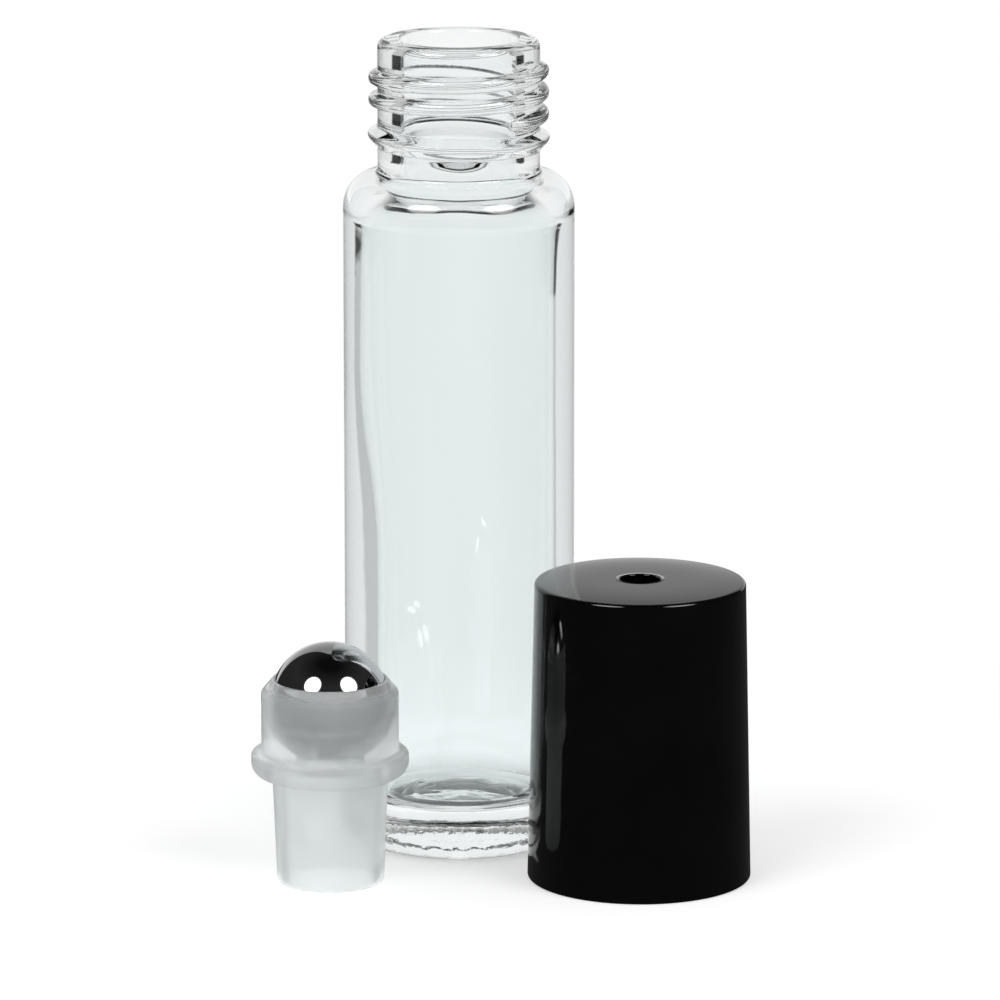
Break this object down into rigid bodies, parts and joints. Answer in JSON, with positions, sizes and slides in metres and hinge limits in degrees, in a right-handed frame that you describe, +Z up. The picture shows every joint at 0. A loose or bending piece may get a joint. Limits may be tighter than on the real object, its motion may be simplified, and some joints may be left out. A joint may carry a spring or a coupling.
{
  "type": "roll on bottle",
  "caption": "Clear glass roll on bottle standing open beside its roller ball fitment and its tapered glossy screw cap.",
  "frame": {"origin": "centre of the bottle's foot, on the surface that the bottle, the fitment and the cap stand on", "axes": "+Z up along the bottle's axis, +X to the right and -Y towards the viewer, with the fitment and the cap standing on the -Y side"},
  "size_m": [0.0428, 0.0328, 0.0707],
  "materials": {
    "clear_glass": "clear, fire polished",
    "natural_plastic": "natural, milky and translucent",
    "polished_steel": "mirror polished",
    "black_plastic": "glossy black"
  },
  "bodies": {
    "bottle": {"glass_bottle": "clear_glass"},
    "housing": {"roller_housing": "natural_plastic"},
    "ball": {"roller_ball": "polished_steel"},
    "cap": {"screw_cap": "black_plastic"}
  },
  "joints": [
    {"name": "housing_lift", "type": "slide", "parent": "bottle", "child": "housing", "axis": [0, 0, 1], "range_m": [0, 0.08]},
    {"name": "ball_roll", "type": "hinge", "parent": "housing", "child": "ball", "pos_m": [-0.01098, -0.01457, 0.01576], "axis": [1, 0, 0], "continuous": true},
    {"name": "cap_lift", "type": "slide", "parent": "bottle", "child": "cap", "axis": [0, 0, 1], "range_m": [0, 0.09]}
  ]
}
